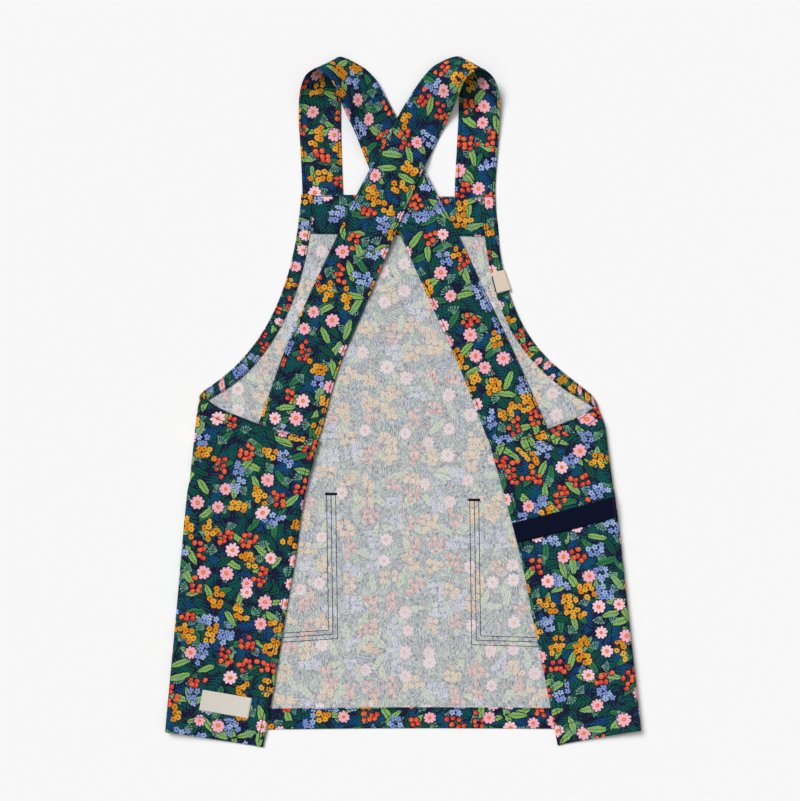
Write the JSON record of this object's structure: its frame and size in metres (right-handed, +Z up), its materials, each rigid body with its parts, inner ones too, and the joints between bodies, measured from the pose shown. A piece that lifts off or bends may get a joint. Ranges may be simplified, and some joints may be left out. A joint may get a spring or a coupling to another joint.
{
  "type": "cross-back smock",
  "caption": "Sleeveless cross-back smock of printed cotton, laid flat on its front: bib, wrap-round back wings, flared crossing straps, patch pockets, tape towel loop.",
  "frame": {"origin": "on the ground under the middle of the whole outline as the smock lies", "axes": "+Z up, away from the ground; +Y towards the shoulders; +X to the right of someone looking down on the back"},
  "size_m": [0.6055, 0.8724, 0.0408],
  "materials": {
    "printed_cloth": "matt cotton canvas, floral print on navy, pale on the wrong side",
    "navy_tape": "matt navy cotton tape",
    "label_ribbon": "blank beige woven label",
    "tab_tape": "beige herringbone tape"
  },
  "bodies": {
    "root": {"body": "printed_cloth", "bib_facing": "printed_cloth", "armhole_facing_left": "printed_cloth", "armhole_facing_right": "printed_cloth", "strap_left": "printed_cloth", "strap_right": "printed_cloth", "pocket_left": "printed_cloth", "pocket_right": "printed_cloth", "towel_loop": "navy_tape", "label": "label_ribbon", "edge_tab": "tab_tape"}
  },
  "joints": []
}
